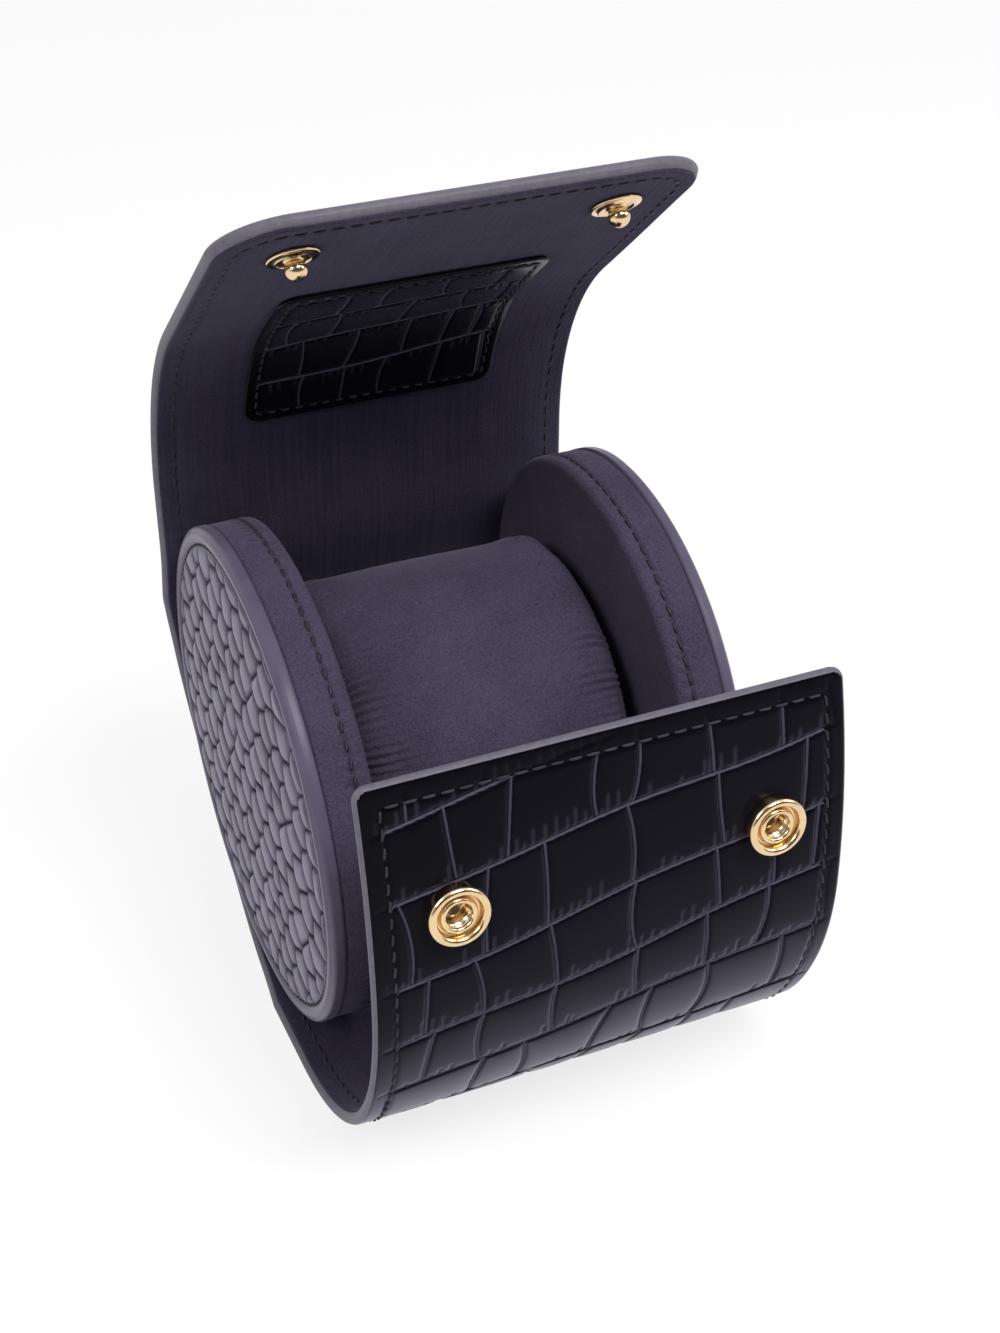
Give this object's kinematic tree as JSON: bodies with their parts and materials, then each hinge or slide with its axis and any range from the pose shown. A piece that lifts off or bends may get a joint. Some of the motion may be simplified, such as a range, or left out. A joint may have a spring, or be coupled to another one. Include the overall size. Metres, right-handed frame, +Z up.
{
  "type": "watch roll",
  "caption": "Open leather watch roll: a curved stiffened wrap with a snap flap, oval padded ends and a lift-out suede cushion between them.",
  "frame": {"origin": "middle of the bounding box on the surface the roll stands on, flap open", "axes": "+X across the roll from one end to the other, +Y to the back where the flap is hung, +Z up"},
  "size_m": [0.076, 0.109, 0.1434],
  "materials": {
    "wrap_leather": "black scale-embossed leather, half gloss",
    "patch_leather": "black embossed leather, bare",
    "lining_suede": "dark brushed suede",
    "stiff_board": "grey-brown fibre board",
    "end_leather": "black fine-scale leather",
    "end_suede": "dark suede",
    "cushion_suede": "dark suede",
    "cushion_filling": "soft filling",
    "spring_steel": "spring wire",
    "snap_metal": "polished pale gold plate"
  },
  "bodies": {
    "roll": {"lining_base": "lining_suede", "board_base": "stiff_board", "leather_base": "wrap_leather", "end_face_left": "end_leather", "end_core_left": "stiff_board", "end_band_left": "end_suede", "end_skin_left": "end_suede", "end_face_right": "end_leather", "end_core_right": "stiff_board", "end_band_right": "end_suede", "end_skin_right": "end_suede"},
    "front": {"lining_front": "lining_suede", "board_front": "stiff_board", "leather_front": "wrap_leather"},
    "lip": {"lining_lip": "lining_suede", "board_lip": "stiff_board", "leather_lip": "wrap_leather", "socket_left": "snap_metal", "socket_spring_left": "spring_steel", "socket_rivet_left": "snap_metal", "socket_right": "snap_metal", "socket_spring_right": "spring_steel", "socket_rivet_right": "snap_metal"},
    "flap": {"lining_flap": "lining_suede", "board_flap": "stiff_board", "leather_flap": "wrap_leather", "flap_patch": "patch_leather"},
    "tip": {"lining_tip": "lining_suede", "board_tip": "stiff_board", "leather_tip": "wrap_leather", "stud_left": "snap_metal", "stud_cap_left": "snap_metal", "stud_right": "snap_metal", "stud_cap_right": "snap_metal"},
    "cushion": {"cushion_cover": "cushion_suede", "cushion_foam": "cushion_filling"}
  },
  "joints": [
    {"name": "front_fold", "type": "hinge", "parent": "roll", "child": "front", "pos_m": [0, -0.01429, 0.0012], "axis": [-1, 0, 0], "range_deg": [-5, 24.4], "stiffness_Nm_per_rad": 1.2},
    {"name": "lip_fold", "type": "hinge", "parent": "front", "child": "lip", "pos_m": [0, -0.0512, 0.04687], "axis": [-1, 0, 0], "range_deg": [-4, 17.05], "stiffness_Nm_per_rad": 0.6},
    {"name": "flap_fold", "type": "hinge", "parent": "roll", "child": "flap", "pos_m": [0, 0.05048, 0.06736], "axis": [1, 0, 0], "range_deg": [-30, 47.37], "stiffness_Nm_per_rad": 1.2},
    {"name": "tip_fold", "type": "hinge", "parent": "flap", "child": "tip", "pos_m": [0, 0.02013, 0.12292], "axis": [1, 0, 0], "range_deg": [-22.5, 34.78], "stiffness_Nm_per_rad": 0.6},
    {"name": "cushion_lift", "type": "slide", "parent": "roll", "child": "cushion", "axis": [0, -0.46, 0.8879], "range_m": [0, 0.1]}
  ],
  "couplings": [
    {"joint": "lip_fold", "follows": "front_fold", "ratio": 0.69672},
    {"joint": "tip_fold", "follows": "flap_fold", "ratio": 0.73323}
  ]
}
